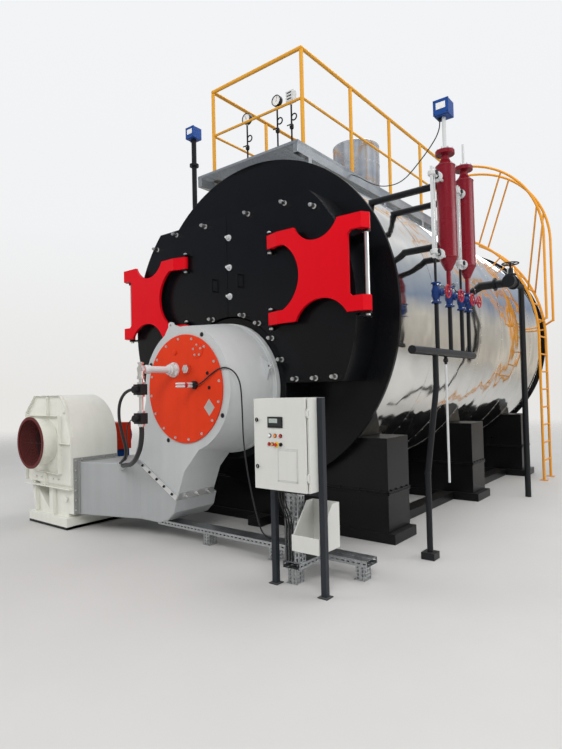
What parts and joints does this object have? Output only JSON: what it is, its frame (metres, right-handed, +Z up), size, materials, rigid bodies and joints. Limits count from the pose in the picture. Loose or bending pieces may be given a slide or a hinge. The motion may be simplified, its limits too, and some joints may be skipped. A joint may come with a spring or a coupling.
{
  "type": "industrial boiler",
  "caption": "Horizontal fire-tube steam boiler on saddles with hinged smokebox doors, forced-draught burner and fan, roof walkway with ladder, water columns and a control stand.",
  "frame": {"origin": "on the floor under the shell axis, in the plane behind the front end plate", "axes": "+X to the right as seen from the front, +Y from the burner to the back, +Z up"},
  "size_m": [4.8659, 7.381, 5.2891],
  "materials": {
    "bare_steel": "bright",
    "black_paint": "semi-gloss black",
    "blue_paint": "satin blue",
    "cabinet_paint": "fine-textured light grey",
    "cream_paint": "satin cream",
    "dark_red_paint": "gloss dark red",
    "grey_paint": "satin grey",
    "lagging_sheet": "bright sheet",
    "orange_paint": "satin orange",
    "polished_steel": "mirror-polished cladding",
    "post_paint": "satin dark grey",
    "red_paint": "satin red",
    "sooted_steel": "matt, sooted",
    "white_paint": "satin white",
    "yellow_paint": "satin yellow",
    "zinc_steel": "galvanised"
  },
  "bodies": {
    "plant": {"shell": "polished_steel", "front_plate": "black_paint", "rear_plate": "black_paint", "rear_cover": "black_paint", "tube_plate": "sooted_steel", "smokebox": "black_paint", "hinge_rods": "bare_steel", "burner_mouth": "black_paint", "burner_neck": "grey_paint", "burner_housing": "grey_paint", "burner_cover": "orange_paint", "sight_plug": "bare_steel", "gas_lance": "white_paint", "igniter": "white_paint", "gas_valves": "black_paint", "air_duct": "grey_paint", "fan_scroll": "cream_paint", "fan_inlet": "cream_paint", "inlet_ring": "dark_red_paint", "fan_stand": "cream_paint", "shaft_guard": "orange_paint", "fan_motor": "blue_paint", "saddles": "black_paint", "base_pads": "black_paint", "base_beams": "black_paint", "walkway_deck": "zinc_steel", "walkway_beams": "zinc_steel", "rail_posts": "yellow_paint", "guard_rails": "yellow_paint", "ladder_stiles": "yellow_paint", "ladder_rungs": "yellow_paint", "ladder_rails": "yellow_paint", "gauge_manifold": "black_paint", "pressure_gauges": "black_paint", "pressure_switches": "white_paint", "outlet_stub": "lagging_sheet", "water_columns": "dark_red_paint", "level_glasses": "white_paint", "level_transmitters": "blue_paint", "column_pipes": "black_paint", "drain_valves": "blue_paint", "drain_wheels": "red_paint", "drain_pipes": "black_paint", "feed_valve": "black_paint", "feed_pipe": "black_paint", "left_level_pipe": "black_paint", "cabinet_body": "cabinet_paint", "cabinet_stand": "post_paint", "file_holder": "cabinet_paint", "cable_trays": "zinc_steel"},
    "door_left_leaf": {"door_left": "black_paint", "arm_left": "red_paint"},
    "door_right_leaf": {"door_right": "black_paint", "arm_right": "red_paint"},
    "cabinet_leaf": {"cabinet_door": "cabinet_paint", "cabinet_panel": "black_paint"}
  },
  "joints": [
    {"name": "door_right_hinge", "type": "hinge", "parent": "plant", "child": "door_right_leaf", "pos_m": [1.69, -0.391, 2.545], "axis": [0, 0, 1], "range_deg": [0, 90]},
    {"name": "door_left_hinge", "type": "hinge", "parent": "plant", "child": "door_left_leaf", "pos_m": [-1.69, -0.391, 2.545], "axis": [0, 0, -1], "range_deg": [0, 90]},
    {"name": "cabinet_door_hinge", "type": "hinge", "parent": "plant", "child": "cabinet_leaf", "pos_m": [1.761, -1.444, 1.1], "axis": [0, 0, 1], "range_deg": [0, 110]}
  ]
}
